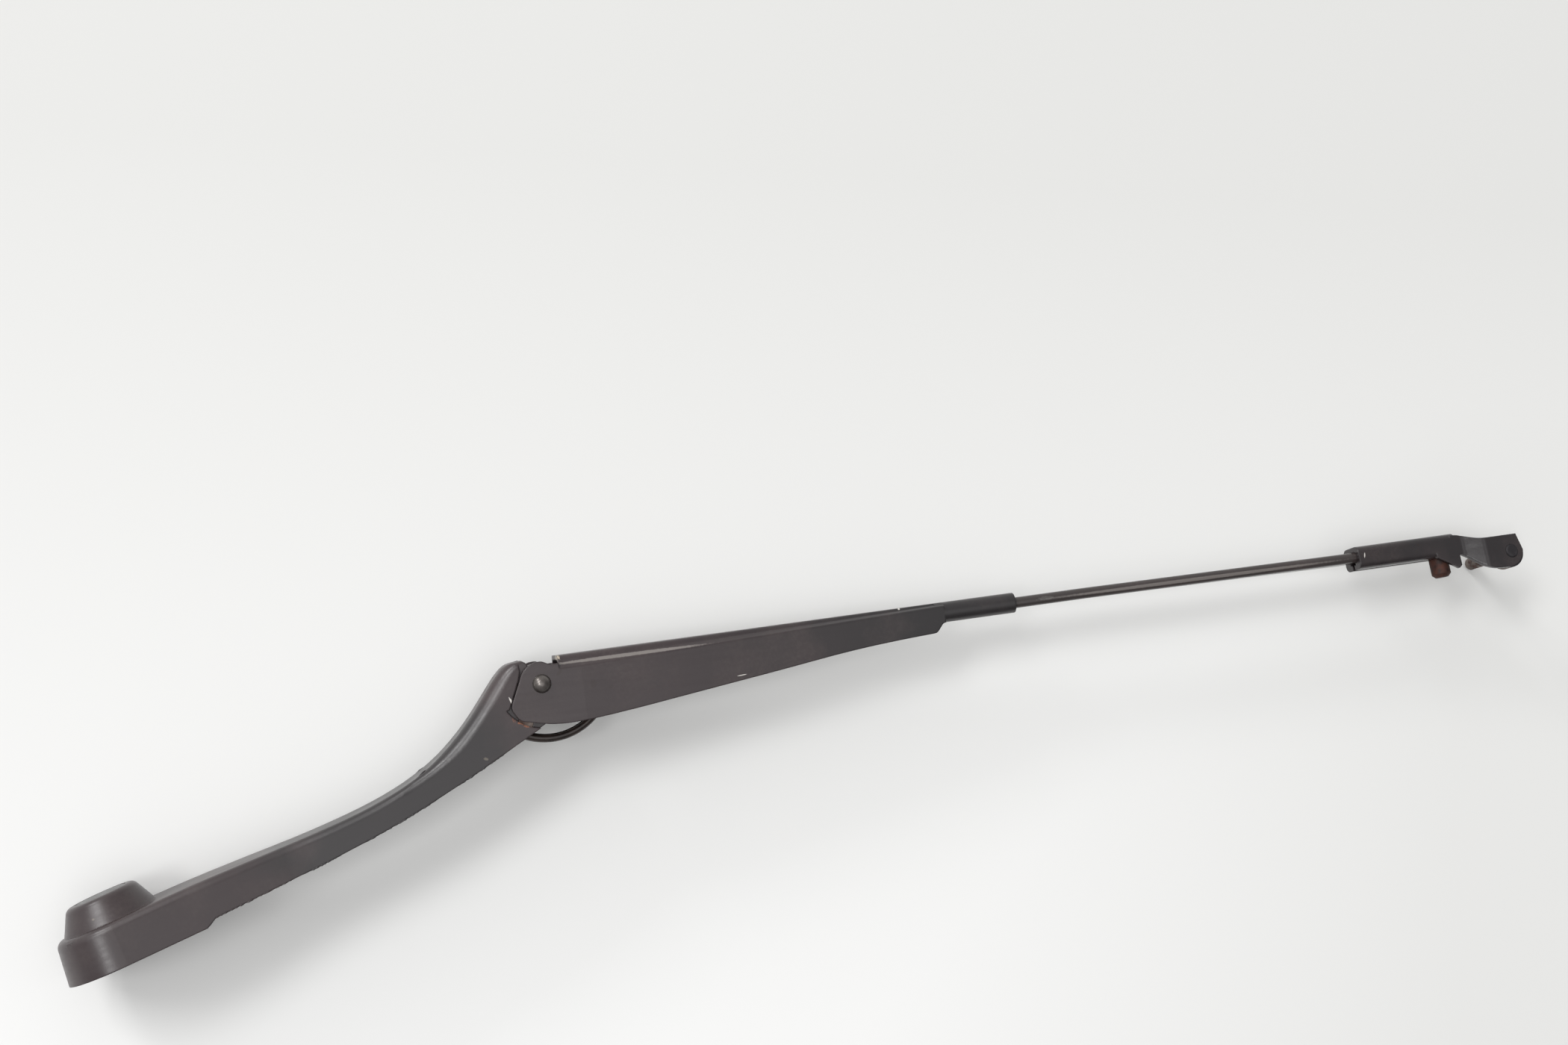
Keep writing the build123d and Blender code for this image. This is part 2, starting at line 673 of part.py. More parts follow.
def make_blade_carrier():
    wide = rod_width + 2 * (crimp_gap + carrier_sheet)
    high = rod_thickness + 2 * (crimp_gap + carrier_sheet) + lip_drop
    length = carrier_end - carrier_start
    middle = across(carrier_start, -lip_drop / 2)
    body = extrude(middle * RectangleRounded(wide, high, carrier_round), amount=length)
    band = extrude(wall_band(pad_offset, carrier_sheet), amount=reach, both=True)
    body += side_slab(pad_outline(), reach) & band
    tab_y = -wide / 2 + tab_thickness / 2
    lip_foot = -high + rod_thickness / 2 + crimp_gap + carrier_sheet
    tab_edge = [(tab_end, tab_tip + 1.0), (tab_end - 1.2, tab_tip), (tab_start, lip_foot)]
    tab = make_face(Polyline((tab_start, 0), (tab_end, 0), *tab_edge, close=True))
    body += Pos(0, tab_y, 0) * side_slab(tab, tab_thickness / 2)
    hole = rod_section(rod_width + 2 * crimp_gap, rod_thickness + 2 * crimp_gap, rod_edge + crimp_gap)
    body -= extrude(across(carrier_start - 1) * hole, amount=rod_end - carrier_start + 1 + crimp_gap)
    slack = Box(2 * reach, rod_width - 2 * rod_edge, rod_thickness + lip_drop)
    body -= Pos(rod_end + crimp_gap - reach, 0, -lip_drop / 2) * slack
    body -= Pos(carrier_start + length / 2, 0, -reach / 2) * Box(2 * length, carrier_seam, reach)
    body -= Pos(stud_x, 0, 0) * Cylinder(stud_shank_radius + fit_gap, reach)
    body -= cylinder_y(pin_radius + fit_gap, -reach, 0, pin_x, pin_z)
    return tip_frame * body


def make_locating_stud():
    """Turned stud on the carrier's lips, its shank riveted flush above."""
    half = rod_thickness / 2 + crimp_gap + carrier_sheet
    seat = -half - lip_drop
    outline = make_face(
        Polyline(
            (0, half),
            (stud_shank_radius, half),
            (stud_shank_radius, seat),
            (stud_radius, seat),
            (stud_radius, stud_foot + stud_chamfer),
            (stud_radius - stud_chamfer, stud_foot),
            (0, stud_foot),
            close=True,
        )
    )
    stud = revolve(Plane.XZ * outline, axis=Axis.Z)
    return tip_frame * Pos(stud_x, 0, 0) * stud


def make_side_pin():
    """Turned pin through the pad, with a collar behind it and a catch groove near its tip."""
    back = -pad_offset + carrier_sheet
    head = -pad_offset
    groove = pin_tip - pin_groove_from_tip
    waist = pin_radius - pin_groove_depth
    outline = make_face(
        Polyline(
            (0, head - peened_height),
            (peened_radius - peened_height, head - peened_height),
            (peened_radius, head),
            (pin_radius, head),
            (pin_radius, back),
            (collar_radius, back),
            (collar_radius, back + collar_length),
            (pin_radius, back + collar_length),
            (pin_radius, groove),
            (waist, groove + pin_groove_depth),
            (waist, groove + pin_groove_width - pin_groove_depth),
            (pin_radius, groove + pin_groove_width),
            (pin_radius, pin_tip - pin_chamfer),
            (pin_radius - pin_chamfer, pin_tip),
            (0, pin_tip),
            close=True,
        )
    )
    pin = revolve(outline, axis=Axis.Y)
    return tip_frame * Pos(pin_x, 0, pin_z) * pin


near_bush = make_hinge_bush()
nodes = {
    "arm_head": make_arm_head(),
    "nut_cap": make_nut_cap(),
    "hinge_bush_near": near_bush,
    "hinge_bush_far": mirror(near_bush, about=Plane.XZ),
    "hinge_rivet": make_hinge_rivet(),
    "hook_pin": make_hook_pin(),
    "spring_hook": make_spring_hook(),
    "tension_spring": make_tension_spring(),
    "retainer": make_retainer(),
    "rod": make_rod(),
    "blade_carrier": make_blade_carrier(),
    "locating_stud": make_locating_stud(),
    "side_pin": make_side_pin(),
}

os.makedirs("parts", exist_ok=True)
for name, node in nodes.items():
    export_step(Pos(0, 0, -nut_seat) * node, f"parts/{name}.step")
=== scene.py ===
import json
import math

import bpy
from mathutils import Matrix, Vector


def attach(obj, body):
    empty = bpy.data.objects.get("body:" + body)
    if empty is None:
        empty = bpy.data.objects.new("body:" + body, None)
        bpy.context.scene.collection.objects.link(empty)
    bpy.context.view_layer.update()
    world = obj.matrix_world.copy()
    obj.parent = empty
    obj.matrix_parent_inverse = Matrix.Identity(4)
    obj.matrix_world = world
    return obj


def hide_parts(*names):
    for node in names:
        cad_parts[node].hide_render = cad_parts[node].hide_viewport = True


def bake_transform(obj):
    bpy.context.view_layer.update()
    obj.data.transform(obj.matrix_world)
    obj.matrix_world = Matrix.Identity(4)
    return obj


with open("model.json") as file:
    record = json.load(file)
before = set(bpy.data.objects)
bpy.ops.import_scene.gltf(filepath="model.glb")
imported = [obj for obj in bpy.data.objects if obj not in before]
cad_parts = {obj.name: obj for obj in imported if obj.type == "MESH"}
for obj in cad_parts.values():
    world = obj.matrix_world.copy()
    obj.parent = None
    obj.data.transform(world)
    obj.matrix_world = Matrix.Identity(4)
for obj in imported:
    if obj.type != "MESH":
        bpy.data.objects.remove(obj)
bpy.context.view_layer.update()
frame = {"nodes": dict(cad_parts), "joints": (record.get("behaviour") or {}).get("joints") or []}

# Windscreen wiper arm lying on a pale table: black satin paint over cast and pressed metal.
# Metres and degrees, with the marks in the finishes in millimetres. +X runs towards the tip, and the origin
# is on the spindle's axis at the nut's seat.

MM = 0.001


def joint(name):
    return next(j for j in frame["joints"] if j["name"] == name)


def linear(red, green, blue):
    """Linear colour from the eight-bit screen colour that it shows as."""
    shares = (level / 255 for level in (red, green, blue))
    return tuple(s / 12.92 if s < 0.04045 else ((s + 0.055) / 1.055) ** 2.4 for s in shares)


# Camera of the photograph
CAMERA_PLACE = (0.0948, -0.6519, 0.0541)
CAMERA_FORWARD = (0.247, 0.968, -0.031)
CAMERA_RIGHT = (0.888, -0.239, -0.392)
CAMERA_CLIP = 0.01
IMAGE_WIDTH = 2100       # pixels
FOCAL_PIXELS = 2500
SENSOR_WIDTH = 36.0      # millimetres

# Table: the arm lies on its far side, and the table is square to the hinge, so that the arm opens along it
TABLE_UP = Vector((0, -1, 0))
TABLE_SIZE = 6.0
TABLE_ROUGHNESS = 0.9
TABLE_NEAR = linear(239, 239, 238)
# Table colour where the painted shade is fullest
TABLE_PAINTED_SHADE = linear(222, 222, 220)
TABLE_UP_RUN = (-0.12, 0.20)       # run to the top of the picture along which painted shade darkens the table
TABLE_RIGHT_RUN = (0.05, 0.30)     # run to its right along which painted shade darkens the table
TABLE_RIGHT_SHARE = 0.75           # how much the painted shade darkens it to the right, of how much it does to the top

# Light: a soft dome over the table, a panel overhead, and boxes that stand about the arm
ARM_MIDDLE = Vector((0.22, 0.0, -0.02))
BACKGROUND_LEVEL = 0.90  # brightness below the table's edge
HORIZON = 0.02           # half the height over which the dome fades into the background
DOME_LEVEL = 0.54        # brightness of the dome's sides
DOME_LEFT = 0.48         # share by which its left is brighter
DOME_TOP = 0.50          # share by which its top is brighter
PANEL_LEVEL = 1.12       # brightness that the panel adds
PANEL_TOWARDS = Vector((-0.02, -0.991, -0.13)).normalized()
PANEL_EDGE = (0.90, 0.985)         # cosines off its middle, from its outer edge to its full brightness
BOX_DISTANCE = 5.0

# Lie of the pieces in the side view
ARM_DROOP = 16.0                   # slope of the arm below +X
ROD_HIGHLIGHT_DROOP = 16.4              # slope of the painted highlight along the rod
NECK_SHADE_RUN = (200 * MM, 290 * MM)    # painted shade deepens the retainer's paint along this run of X
HINGE_X, _, HINGE_Z = joint("arm_hinge")["pos_m"]
PIN_PAINTED = (-8.6 * MM, -9.0 * MM)    # the side pin goes from bare to painted along this run of Y

# Rust at the joint line between the near ear and the head
EAR_SWEEP = 15.1 * MM              # radius of that line about the hinge
CREEP_RUN = (1.8 * MM, 0.2 * MM)   # distances outside the line at which rust ends and is full
CREEP_GRAIN = 1.1 * MM
CREEP_LEVELS = (0.44, 0.62)
CREEP_BROWN = 0.7                  # share of brown where rust is full
CREEP_ORANGE = (0.3, 0.9)          # rust from where orange starts to where it is full
CREEP_ORANGE_SHARE = 0.5

# Spring on the pull line, measured from the hook's pin
WIRE_RADIUS = 0.9 * MM
COIL_RADIUS = 3.4 * MM
COIL_TURNS = 16.25
COIL_START = 31.4 * MM
COIL_END = 118.43 * MM
LOOP_LENGTH = 7.0 * MM
LOOP_SQUARENESS = 0.5              # 1 makes a loop round, and less makes it squarer
LOOP_SWEEP = 0.93 * math.pi        # radians that a loop goes round
TURN_POINTS = 24                   # points on the wire in each turn of the coil
LOOP_POINTS = 60                   # points on the wire in each loop
WIRE_SIDES = 12
EASE_PASSES = 2                    # smoothing where the coil runs into its loops

# Casting flash along the lower rim of the head
FLASH_RADIUS = 0.42 * MM
FLASH_FROM = 14 * MM
FLASH_TO = 140 * MM
FLASH_SHARE = 0.50                 # noise level above which an edge keeps its flash
FLASH_STRETCH = 7 * MM             # size of the pattern that breaks it
FLASH_LUMP = 1.1 * MM              # size of the lumps in it
FLASH_LUMP_LEVELS = (0.35, 0.7)    # noise levels from between the lumps to their tops
FLASH_THIN = 0.15                  # share of the radius between the lumps
FLASH_STEP = 0.35 * MM
FLASH_SIDES = 6
RIM_FOLD = math.radians(50)        # an edge of the rim folds by more than this
RIM_DOWN = -0.25                   # Z of a normal on the rim is less than this
RIM_OUT = 0.2                      # Y of a normal on the rim, away from the middle, is more than this
WELD_DISTANCE = 0.01 * MM

# Patterns that the finishes share
NOISE_ROUGHNESS = 0.55
NOISE_SPAN = (0.3, 0.7)            # levels between which most of a noise lies
PATCH_LEVELS = (0.35, 0.65)        # noise levels from one colour of a metal to the other
LOOK_SAMPLES = 6                   # rays that feel for edges and creases
EDGE_TURN = (0.02, 0.16)           # turn of the rounded normal from a plain face to a sharp edge
EDGE_AIR = 3                       # radii about an edge in which its open air is felt for
EDGE_OPEN = (0.5, 0.8)             # share of open air from an inner corner to a proud edge
MARK_BORDER = (1.0, 0.7)           # a mark fades between these shares of its size

# Satin paint: orange peel, clouds, streaks, dust and rubbed edges
PAINT_IOR = 1.6
PAINT_EDGE = 0.7 * MM              # radius that paint gives a sharp edge
PEEL_SIZE = 0.9 * MM
PEEL_DEPTH = 0.012 * MM
CLOUD_SIZE = 22 * MM
CLOUD_LEVELS = (0.45, 0.75)        # noise levels from the base colour to the palest
CLOUD_PALENESS = 0.5               # how far the paint pales there
CLOUD_ROUGHNESS = (-0.02, 0.04)    # added to the paint's own
STREAK_SIZE = 1.4 * MM
STREAK_STRETCH = (18, 4, 1)
STREAK_LEVELS = (0.35, 0.7)
STREAK_ROUGHNESS = (-0.03, 0.04)   # added to the paint's own
STREAK_HEIGHT = 0.6                # share of the peel's depth
DUST_SIZE = 1.3 * MM
DUST_LEVELS = (0.40, 0.75)
DUST_ROUGHNESS = 0.4               # added to the paint's own by a full film
RUBBED_WIDTH = 0.45 * MM
RUBBED_PATCH = 4 * MM
RUBBED_LEVELS = (0.45, 0.62)

# Cap: a fine grain, and patches bleached by weather
CAP_GRAIN = 0.35 * MM
CAP_GRAIN_DEPTH = 0.02 * MM
CAP_PATCH = 5 * MM
CAP_LEVELS = (0.4, 0.75)
CAP_PALENESS = 0.3                 # how far the patches pale
CAP_ROUGHNESS = (0.30, 0.42)

# Rusted steel: brown patches, pits, and patches that are left clean
RUST_IOR = 1.3
RUST_EDGE = 0.4 * MM               # radius that rust gives a sharp edge
RUST_PATCH = 2.4 * MM
RUST_ROUGHNESS = (0.45, 0.7)
PIT_SIZE = 0.6 * MM
PIT_DEPTH = 0.06 * MM
CLEAN_PATCH = 4 * MM
CLEAN_LEVELS = (0.42, 0.58)
CLEAN_METALLIC = 0.7

# Plain metals: soft patches, and a tooled skin
METAL_PATCH = 4 * MM
METAL_ROUGHNESS = (-0.04, 0.06)    # added to the metal's own
SKIN_SIZE = 0.5 * MM
SKIN_DEPTH = 0.012 * MM

# Colours
PAINT_BLACK = linear(44, 33, 35)
# Worn paint on rubbed edges and weathered cap patches, and also a painted highlight on the rod
PAINT_WORN_AND_SHEEN = linear(74, 70, 68)
# Deeper black painted where shade falls: over the head's middle and along the retainer's neck
PAINTED_SHADE_BLACK = linear(27, 23, 25)
PAINT_PALE = linear(62, 50, 50)
ROD_BLACK = linear(52, 46, 45)
CARRIER_BLACK = linear(30, 25, 27)
PIN_BLACK = linear(50, 48, 50)
# Pale paint for the painted highlights along the retainer's fold and along the rod
PAINTED_SHEEN = linear(128, 122, 118)
PLASTIC_BLACK = linear(34, 34, 34)
DUST = linear(150, 142, 134)
BARE_METAL = linear(200, 196, 190)
PRIMER = linear(176, 164, 146)
RUST_ORANGE = linear(156, 92, 54)
RUST_BROWN = linear(72, 44, 36)
RUST_DARK = linear(38, 25, 22)
STEEL_GREY = linear(128, 120, 114)

# Sockets of a Mix node by number: its two inputs and its output, for each type of data
MIX_SOCKETS = {"VECTOR": (4, 5, 1), "RGBA": (6, 7, 2)}


class Field:
    """A socket in a node tree. Arithmetic on it adds Math nodes, and node() adds any other."""

    def __init__(self, tree, socket=None):
        self.tree = tree
        self.socket = socket

    def plug(self, socket, value):
        """Link a field to a socket, or set the socket's own value."""
        if isinstance(value, Field):
            self.tree.links.new(value.socket, socket)
        elif socket.type == "RGBA" and len(value) == 3:
            socket.default_value = (*value, 1.0)
        else:
            socket.default_value = value

    def node(self, kind, settings=None, inputs=None, output=0):
        """Any node: its settings first, then its sockets by name or number. Returns one output."""
        made = self.tree.nodes.new(kind)
        for name, value in (settings or {}).items():
            setattr(made, name, value)
        for name, value in (inputs or {}).items():
            self.plug(made.inputs[name], value)
        return Field(self.tree, made.outputs[output])

    def maths(self, operation, *terms):
        return self.node("ShaderNodeMath", {"operation": operation}, dict(enumerate(terms)))

    def __add__(self, other):
        return self.maths("ADD", self, other)

    def __radd__(self, other):
        return self.maths("ADD", other, self)

    def __sub__(self, other):
        return self.maths("SUBTRACT", self, other)

    def __rsub__(self, other):
        return self.maths("SUBTRACT", other, self)

    def __mul__(self, other):
        return self.maths("MULTIPLY", self, other)

    def __rmul__(self, other):
        return self.maths("MULTIPLY", other, self)

    def __pow__(self, power):
        return self.maths("POWER", self, power)

    def __gt__(self, other):
        return self.maths("GREATER_THAN", self, other)

    def __lt__(self, other):
        return self.maths("LESS_THAN", self, other)

    def ramp(self, low, high, out_low=0.0, out_high=1.0):
        """Straight run from out_low at low to out_high at high, held beyond them."""
        values = {"Value": self, "From Min": low, "From Max": high, "To Min": out_low, "To Max": out_high}
        return self.node("ShaderNodeMapRange", {"clamp": True}, values)

    def mix(self, first, second, kind="RGBA"):
        """Colour or vector that goes from first to second as this field goes from 0 to 1."""
        low, high, result = MIX_SOCKETS[kind]
        settings = {"data_type": kind, "clamp_factor": True}
        return self.node("ShaderNodeMix", settings, {0: self, low: first, high: second}, result)

    def vector(self, operation, *terms):
        """Number that a Vector Math node gives for this vector and any others."""
        terms = dict(enumerate((self, *terms)))
        return self.node("ShaderNodeVectorMath", {"operation": operation}, terms, "Value")

    def dot(self, direction):
        return self.vector("DOT_PRODUCT", direction)

    def part(self, axis):
        """X, Y or Z of a vector."""
        return self.node("ShaderNodeSeparateXYZ", inputs={0: self}, output=axis)


class Finish:
    """A material on Object coordinates, with the few patterns that the arm's finishes share."""

    def __init__(self, name):
        self.material = bpy.data.materials.new(name)
        self.material.use_nodes = True
        tree = self.material.node_tree
        self.shader = tree.nodes["Principled BSDF"]
        self.graph = Field(tree)
        self.place = self.graph.node("ShaderNodeTexCoord", output="Object")

    def mapped(self, **inputs):
        """Object coordinates in a pattern's own place, turn and scale."""
        return self.graph.node(
            "ShaderNodeMapping", {"vector_type": "TEXTURE"}, {"Vector": self.place, **inputs}
        )

    def noise(self, size, detail=2.0, stretch=(1, 1, 1), turn=0.0):
        """Cloudy pattern from 0 to 1 in patches of about size, drawn out by stretch and turned about Y."""
        place = self.mapped(Rotation=(0, math.radians(turn), 0), Scale=stretch)
        inputs = {"Vector": place, "Scale": 1 / size, "Detail": detail, "Roughness": NOISE_ROUGHNESS}
        return self.graph.node("ShaderNodeTexNoise", inputs=inputs)

    def soft(self, radius):
        """Normal with every sharp edge rounded off over radius."""
        return self.graph.node("ShaderNodeBevel", {"samples": LOOK_SAMPLES}, {"Radius": radius})

    def edges(self, radius):
        """1 along sharp edges that stand proud, fading to 0 at about radius from them."""
        true = self.graph.node("ShaderNodeNewGeometry", output="Normal")
        turn = 1 - self.soft(radius).dot(true)
        return turn.ramp(*EDGE_TURN) * self.open_air(EDGE_AIR * radius).ramp(*EDGE_OPEN)

    def open_air(self, reach):
        """1 on open faces, less in creases and corners within reach."""
        settings = {"samples": LOOK_SAMPLES, "only_local": True}
        return self.graph.node("ShaderNodeAmbientOcclusion", settings, {"Distance": reach}, "AO")

    def mark(self, centre, size, turn=0.0, ragged=0.35, grain=0.8, strength=1.0):
        """Mask of one mark: a ragged ellipsoid about centre, turned about Y. In millimetres."""
        local = self.mapped(
            Location=[c * MM for c in centre],
            Rotation=(0, math.radians(turn), 0),
            Scale=[s * MM for s in size],
        )
        reach = local.vector("LENGTH") + (self.noise(grain * MM) - 0.5) * (2 * ragged)
        return reach.ramp(*MARK_BORDER, 0.0, strength)

    def bump(self, height, depth, normal=None):
        """Normal of a skin that rises by depth as height goes from 0 to 1."""
        inputs = {"Height": height, "Distance": depth, "Strength": 1.0}
        if normal is not None:
            inputs["Normal"] = normal
        return self.graph.node("ShaderNodeBump", inputs=inputs)

    def set(self, **sockets):
        """Shader sockets by name, with underscores for spaces. Returns the material."""
        for name, value in sockets.items():
            self.graph.plug(self.shader.inputs[name.replace("_", " ")], value)
        return self.material


def satin_paint(name, roughness, dust, wear, turn=0.0, base=PAINT_BLACK, painted_shade_run=None):
    """Black paint: orange peel, streaks turned along the piece, dust in patches, and rubbed edges.

    Along a given run of X, painted shade takes it from the base colour to a deeper black.
    """
    finish = Finish(name)
    peel = finish.noise(PEEL_SIZE)
    cloud = finish.noise(CLOUD_SIZE, detail=5.0)
    streak = finish.noise(STREAK_SIZE, detail=4.0, stretch=STREAK_STRETCH, turn=turn)
    speck = finish.noise(DUST_SIZE, detail=3.0)
    film = cloud.ramp(*DUST_LEVELS) * speck.ramp(*DUST_LEVELS) * dust
    rubbed = finish.noise(RUBBED_PATCH, detail=4.0).ramp(*RUBBED_LEVELS)
    rubbed = finish.edges(RUBBED_WIDTH) * rubbed * wear
    # Painted shade: a deeper black along the run
    if painted_shade_run:
        base = finish.place.part("X").ramp(*painted_shade_run).mix(base, PAINTED_SHADE_BLACK)
    colour = cloud.ramp(*CLOUD_LEVELS, 0.0, CLOUD_PALENESS).mix(base, PAINT_PALE)
    colour = film.mix(colour, DUST)
    colour = rubbed.mix(colour, PAINT_WORN_AND_SHEEN)
    rough = roughness + cloud.ramp(*NOISE_SPAN, *CLOUD_ROUGHNESS)
    rough = rough + streak.ramp(*STREAK_LEVELS, *STREAK_ROUGHNESS) + film * DUST_ROUGHNESS
    normal = finish.bump(peel + streak * STREAK_HEIGHT, PEEL_DEPTH, normal=finish.soft(PAINT_EDGE))
    finish.set(Base_Color=colour, Roughness=rough, Normal=normal, IOR=PAINT_IOR)
    return finish, colour


def add_marks(finish, colour, marks):
    """Lay marks over a colour in turn: each is a mask, and the colour that it shows."""
    for mask, shown in marks:
        colour = mask.mix(colour, shown)
    return finish.set(Base_Color=colour)


def joint_rust(finish):
    """Rust creeping out of the joint line under the near ear."""
    across = finish.place.part("X") - HINGE_X
    above = finish.place.part("Z") - HINGE_Z
    from_hinge = (across * across + above * above) ** 0.5
    creep = (from_hinge - EAR_SWEEP).ramp(*CREEP_RUN)
    spread = finish.mark((146.2, -11.0, 6.6), (4.6, 3.0, 4.4), ragged=0.5, grain=1.6)
    return creep * spread * finish.noise(CREEP_GRAIN, detail=3.0).ramp(*CREEP_LEVELS)


def head_paint():
    finish, colour = satin_paint("head_paint", roughness=0.33, dust=0.05, wear=0.12)
    # Painted shade over the head's middle
    painted_waist_shade = finish.mark((98.0, -14.0, -2.0), (50.0, 40.0, 30.0), ragged=0.6, grain=24, strength=0.9)
    rust = joint_rust(finish)
    marks = [
        # Painted shade: a deeper black between the cup and the hinge
        (painted_waist_shade, PAINTED_SHADE_BLACK),
        # Bare edge beside the ear
        (finish.mark((145.8, -10.0, 14.4), (0.38, 1.2, 2.3), turn=-7), BARE_METAL),
        # Rust below the ear
        (rust * CREEP_BROWN, RUST_BROWN),
        (rust.ramp(*CREEP_ORANGE, 0.0, CREEP_ORANGE_SHARE), RUST_ORANGE),
        # Faint scuffs
        (finish.mark((130.3, -11.6, 0.5), (0.9, 0.8, 0.5), turn=30, ragged=0.6, strength=0.2), PRIMER),
        (finish.mark((-2.9, -13.5, 5.5), (0.5, 0.6, 0.4), strength=0.2), PRIMER),
    ]
    return add_marks(finish, colour, marks)


def arm_paint():
    # The retainer's neck darkens with painted shade
    finish, colour = satin_paint(
        "arm_paint", roughness=0.34, dust=0.06, wear=0.12, turn=ARM_DROOP, painted_shade_run=NECK_SHADE_RUN
    )
    # Painted highlight: a pale line along the upper fold
    painted_fold_highlight = finish.mark(
        (190.0, -8.7, 12.9), (34.0, 1.3, 0.8), turn=ARM_DROOP, ragged=0.25, strength=0.75
    )
    marks = [
        # Scratch on the near wall
        (finish.mark((223.3, -8.3, -9.9), (2.0, 1.0, 0.17), turn=13, ragged=0.15), BARE_METAL),
        # Stains beside the rivet, towards the tip
        (finish.mark((164.5, -10.5, 17.2), (1.5, 1.0, 0.7), turn=-20, ragged=0.6, strength=0.7), RUST_DARK),
        (finish.mark((173.8, -10.4, 8.9), (1.3, 1.0, 1.7), ragged=0.7, strength=0.45), RUST_DARK),
        (finish.mark((178.9, -10.1, 5.5), (1.1, 1.0, 0.7), ragged=0.7, strength=0.4), RUST_DARK),
        # Nick near the neck
        (finish.mark((287.1, -3.5, -12.1), (0.5, 0.8, 0.45)), BARE_METAL),
        # Chipped paint on the crown's end
        (finish.mark((166.5, -5.0, 21.6), (0.9, 4.2, 1.3), ragged=0.6, strength=0.9), PRIMER),
        # Painted highlight along the upper fold, as a pale line
        (painted_fold_highlight, PAINTED_SHEEN),
    ]
    return add_marks(finish, colour, marks)


def rod_paint():
    finish, colour = satin_paint(
        "rod_paint", roughness=0.15, dust=0.05, wear=0.3, turn=ARM_DROOP, base=ROD_BLACK
    )
    # Painted highlight: a pale line along the rod's near face
    painted_rod_highlight = finish.mark(
        (400.0, -3.5, -48.8), (66.0, 0.8, 0.75), turn=ROD_HIGHLIGHT_DROOP, ragged=0.15, strength=0.55
    )
    marks = [
        # Painted highlight on the crimped patch of the rod by the neck
        (finish.mark((340.9, -3.5, -31.1), (3.4, 1.0, 0.8), turn=ARM_DROOP), PAINT_WORN_AND_SHEEN),
        # Painted highlight along the near face, as a pale line
        (painted_rod_highlight, PAINTED_SHEEN),
    ]
    return add_marks(finish, colour, marks)


def carrier_paint():
    finish, colour = satin_paint(
        "carrier_paint", roughness=0.20, dust=0.05, wear=0.3, turn=ARM_DROOP, base=CARRIER_BLACK
    )
    marks = [
        # Bare nick at the end where the rod goes in
        (finish.mark((467.9, -5.4, -68.0), (0.26, 1.0, 1.2), turn=30, ragged=0.2), BARE_METAL),
        # Stain on the near wall
        (finish.mark((491.3, -5.2, -73.6), (0.6, 1.0, 0.6), strength=0.6), RUST_DARK),
    ]
    return add_marks(finish, colour, marks)


def cap_plastic():
    """Moulded plastic with a fine grain, dulled by weather in patches."""
    finish = Finish("cap")
    grain = finish.noise(CAP_GRAIN)
    patch = finish.noise(CAP_PATCH, detail=4.0)
    return finish.set(
        Base_Color=patch.ramp(*CAP_LEVELS, 0.0, CAP_PALENESS).mix(PLASTIC_BLACK, PAINT_WORN_AND_SHEEN),
        Roughness=patch.ramp(*CAP_LEVELS, *CAP_ROUGHNESS),
        Normal=finish.bump(grain, CAP_GRAIN_DEPTH),
    )


def rusted_steel(name, bright=0.0):
    """Bare steel browned by weather, with a pitted skin. Bright is how clean its clean patches are."""
    finish = Finish(name)
    patch = finish.noise(RUST_PATCH, detail=5.0)
    pit = finish.noise(PIT_SIZE, detail=3.0)
    colour = patch.ramp(*PATCH_LEVELS).mix(RUST_DARK, RUST_BROWN)
    clean = finish.noise(CLEAN_PATCH, detail=3.0).ramp(*CLEAN_LEVELS, 0.0, bright)
    colour = clean.mix(colour, STEEL_GREY)
    finish.set(
        Base_Color=colour,
        Roughness=patch.ramp(*NOISE_SPAN, *RUST_ROUGHNESS),
        Metallic=clean * CLEAN_METALLIC,
        Normal=finish.bump(pit, PIT_DEPTH, normal=finish.soft(RUST_EDGE)),
        IOR=RUST_IOR,
    )
    return finish, colour


def stud_steel():
    return rusted_steel("stud")[0].material


def pin_steel():
    """Bare steel pin whose peened near end is under the pad's paint."""
    finish, colour = rusted_steel("pin", bright=0.7)
    painted = finish.place.part("Y").ramp(*PIN_PAINTED)
    return finish.set(Base_Color=painted.mix(colour, PIN_BLACK))


def plain_metal(name, colour, shade, roughness, metallic):
    """Handled metal: two close colours in soft patches, with a fine tooled skin."""
    finish = Finish(name)
    patch = finish.noise(METAL_PATCH, detail=4.0)
    skin = finish.noise(SKIN_SIZE)
    return finish.set(
        Base_Color=patch.ramp(*PATCH_LEVELS).mix(colour, shade),
        Roughness=roughness + patch.ramp(*NOISE_SPAN, *METAL_ROUGHNESS),
        Normal=finish.bump(skin, SKIN_DEPTH),
        Metallic=metallic,
    )


def finishes():
    """Each of the record's slots with its material."""
    # A plain metal's two colours, roughness and metallic share
    metals = {
        "rivet": (linear(122, 117, 114), linear(84, 79, 76), 0.30, 0.8),
        "hook": (linear(58, 48, 44), linear(40, 33, 31), 0.20, 0.2),
        "spring": (linear(60, 57, 56), linear(44, 41, 40), 0.38, 0.6),
        "steel": (STEEL_GREY, RUST_BROWN, 0.40, 0.8),
        "bush": (linear(120, 96, 62), linear(92, 72, 48), 0.45, 0.7),
    }
    return {
        "head_paint": head_paint(),
        "cap": cap_plastic(),
        "arm_paint": arm_paint(),
        "rod_paint": rod_paint(),
        "carrier_paint": carrier_paint(),
        "stud": stud_steel(),
        "pin": pin_steel(),
        **{name: plain_metal(name, *looks) for name, looks in metals.items()},
    }


def dress_nodes(materials):
    """Give every solid the material of its slot."""
    for solid in frame["nodes"].values():
        for slot in solid.material_slots:
            slot.material = materials[slot.material.name.split(".")[0]]


